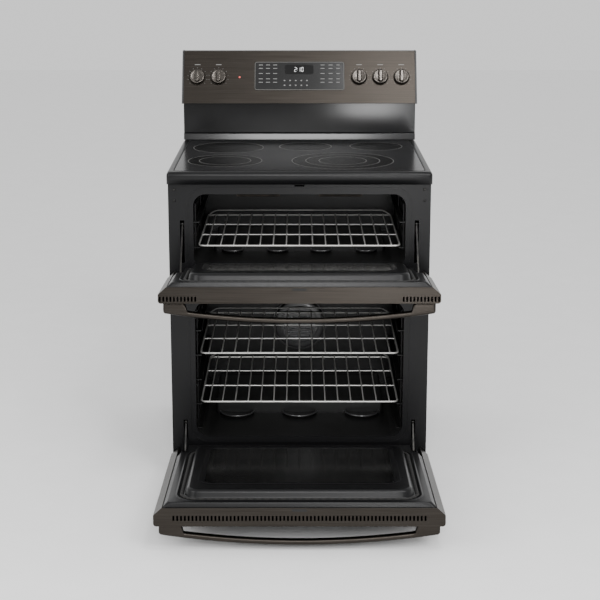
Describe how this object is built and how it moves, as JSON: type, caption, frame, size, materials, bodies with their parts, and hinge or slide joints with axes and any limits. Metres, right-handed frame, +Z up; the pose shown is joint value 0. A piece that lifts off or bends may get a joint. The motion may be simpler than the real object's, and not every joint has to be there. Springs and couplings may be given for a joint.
{
  "type": "freestanding double oven electric range",
  "caption": "Freestanding electric range with two ovens one above the other, drop-down doors, a flat glass cooktop and a sloped rear control panel with knobs.",
  "frame": {"origin": "on the floor, under the middle of the bounding box as the range stands with both doors open", "axes": "+X to the viewer's right seen from the front, +Y towards the back, +Z up"},
  "size_m": [0.759, 1.1994, 1.2057],
  "materials": {
    "black_stainless": "brushed stainless steel with a dark tinted coat",
    "porcelain": "glossy porcelain enamel, dark charcoal",
    "painted_steel": "baked paint, satin black",
    "black_glass": "polished black ceramic or tempered glass",
    "window_glass": "dark tinted oven window glass",
    "chrome_wire": "plated steel wire",
    "zinc_steel": "zinc plated steel",
    "gasket": "woven glass fibre over a wire core",
    "black_plastic": "moulded or painted, dull black",
    "lamp_red": "clear red lamp lens",
    "heater": "oxidised heater sheath and pan, dull"
  },
  "bodies": {
    "range_body": {"control_fascia": "black_stainless", "front_frame": "porcelain", "upper_oven_cavity": "porcelain", "lower_oven_cavity": "porcelain", "upper_floor_cover": "porcelain", "lower_floor_cover": "porcelain", "convection_cover": "porcelain", "cooktop_frame": "porcelain", "backsplash_panel": "porcelain", "side_panel_left": "painted_steel", "side_panel_right": "painted_steel", "cooktop_glass": "black_glass", "display_panel": "black_glass", "back_panel": "zinc_steel", "foot_front_left": "zinc_steel", "foot_rear_left": "zinc_steel", "foot_front_right": "zinc_steel", "foot_rear_right": "zinc_steel", "terminal_cover": "zinc_steel", "fan_motor": "zinc_steel", "upper_hinge_left": "zinc_steel", "upper_hinge_right": "zinc_steel", "lower_hinge_left": "zinc_steel", "lower_hinge_right": "zinc_steel", "backguard_housing": "black_plastic", "base_frame": "black_plastic", "indicator_lamp": "lamp_red", "element_front_left": "heater", "element_rear_left": "heater", "element_rear_centre": "heater", "element_rear_right": "heater", "element_front_right": "heater", "upper_broil_element": "heater", "lower_broil_element": "heater"},
    "upper_door": {"upper_door_skin": "black_stainless", "upper_door_glass": "black_glass", "upper_door_liner": "porcelain", "upper_door_window": "window_glass", "upper_door_gasket": "gasket", "upper_door_handle": "black_stainless"},
    "lower_door": {"lower_door_skin": "black_stainless", "lower_door_glass": "black_glass", "lower_door_liner": "porcelain", "lower_door_window": "window_glass", "lower_door_gasket": "gasket", "lower_door_handle": "black_stainless"},
    "upper_stays": {"upper_stay_left": "zinc_steel", "upper_stay_right": "zinc_steel"},
    "lower_stays": {"lower_stay_left": "zinc_steel", "lower_stay_right": "zinc_steel"},
    "upper_rack_body": {"upper_rack": "chrome_wire"},
    "lower_rack_high_body": {"lower_rack_high": "chrome_wire"},
    "lower_rack_low_body": {"lower_rack_low": "chrome_wire"},
    "knob_1_body": {"knob_1": "black_stainless"},
    "knob_2_body": {"knob_2": "black_stainless"},
    "knob_3_body": {"knob_3": "black_stainless"},
    "knob_4_body": {"knob_4": "black_stainless"},
    "knob_5_body": {"knob_5": "black_stainless"},
    "convection_fan_body": {"convection_fan": "zinc_steel"}
  },
  "joints": [
    {"name": "upper_door_hinge", "type": "hinge", "parent": "range_body", "child": "upper_door", "pos_m": [0, -0.09329, 0.6113], "axis": [-1, 0, 0], "range_deg": [0, 85]},
    {"name": "lower_door_hinge", "type": "hinge", "parent": "range_body", "child": "lower_door", "pos_m": [0, -0.09329, 0.0717], "axis": [-1, 0, 0], "range_deg": [0, 86]},
    {"name": "upper_stay_pivot", "type": "hinge", "parent": "range_body", "child": "upper_stays", "pos_m": [0, -0.04129, 0.764], "axis": [-1, 0, 0], "range_deg": [-29, 0]},
    {"name": "lower_stay_pivot", "type": "hinge", "parent": "range_body", "child": "lower_stays", "pos_m": [0, -0.04129, 0.165], "axis": [-1, 0, 0], "range_deg": [-14.5, 0]},
    {"name": "upper_rack_slide", "type": "slide", "parent": "range_body", "child": "upper_rack_body", "axis": [0, 1, 0], "range_m": [-0.3, 0]},
    {"name": "lower_rack_high_slide", "type": "slide", "parent": "range_body", "child": "lower_rack_high_body", "axis": [0, 1, 0], "range_m": [-0.3, 0]},
    {"name": "lower_rack_low_slide", "type": "slide", "parent": "range_body", "child": "lower_rack_low_body", "axis": [0, 1, 0], "range_m": [-0.3, 0]},
    {"name": "knob_1_turn", "type": "hinge", "parent": "range_body", "child": "knob_1_body", "pos_m": [-0.3275, 0.53094, 1.12458], "axis": [0, -0.915, 0.4035], "range_deg": [0, 300]},
    {"name": "knob_2_turn", "type": "hinge", "parent": "range_body", "child": "knob_2_body", "pos_m": [-0.2595, 0.53094, 1.12458], "axis": [0, -0.915, 0.4035], "range_deg": [0, 300]},
    {"name": "knob_3_turn", "type": "hinge", "parent": "range_body", "child": "knob_3_body", "pos_m": [0.1915, 0.53094, 1.12458], "axis": [0, -0.915, 0.4035], "range_deg": [0, 300]},
    {"name": "knob_4_turn", "type": "hinge", "parent": "range_body", "child": "knob_4_body", "pos_m": [0.2595, 0.53094, 1.12458], "axis": [0, -0.915, 0.4035], "range_deg": [0, 300]},
    {"name": "knob_5_turn", "type": "hinge", "parent": "range_body", "child": "knob_5_body", "pos_m": [0.3275, 0.53094, 1.12458], "axis": [0, -0.915, 0.4035], "range_deg": [0, 300]},
    {"name": "convection_fan_spin", "type": "hinge", "parent": "range_body", "child": "convection_fan_body", "pos_m": [0, 0.44971, 0.33], "axis": [0, 1, 0], "continuous": true}
  ],
  "couplings": [
    {"joint": "upper_stay_pivot", "follows": "upper_door_hinge", "ratio": -0.33529},
    {"joint": "lower_stay_pivot", "follows": "lower_door_hinge", "ratio": -0.16279}
  ]
}
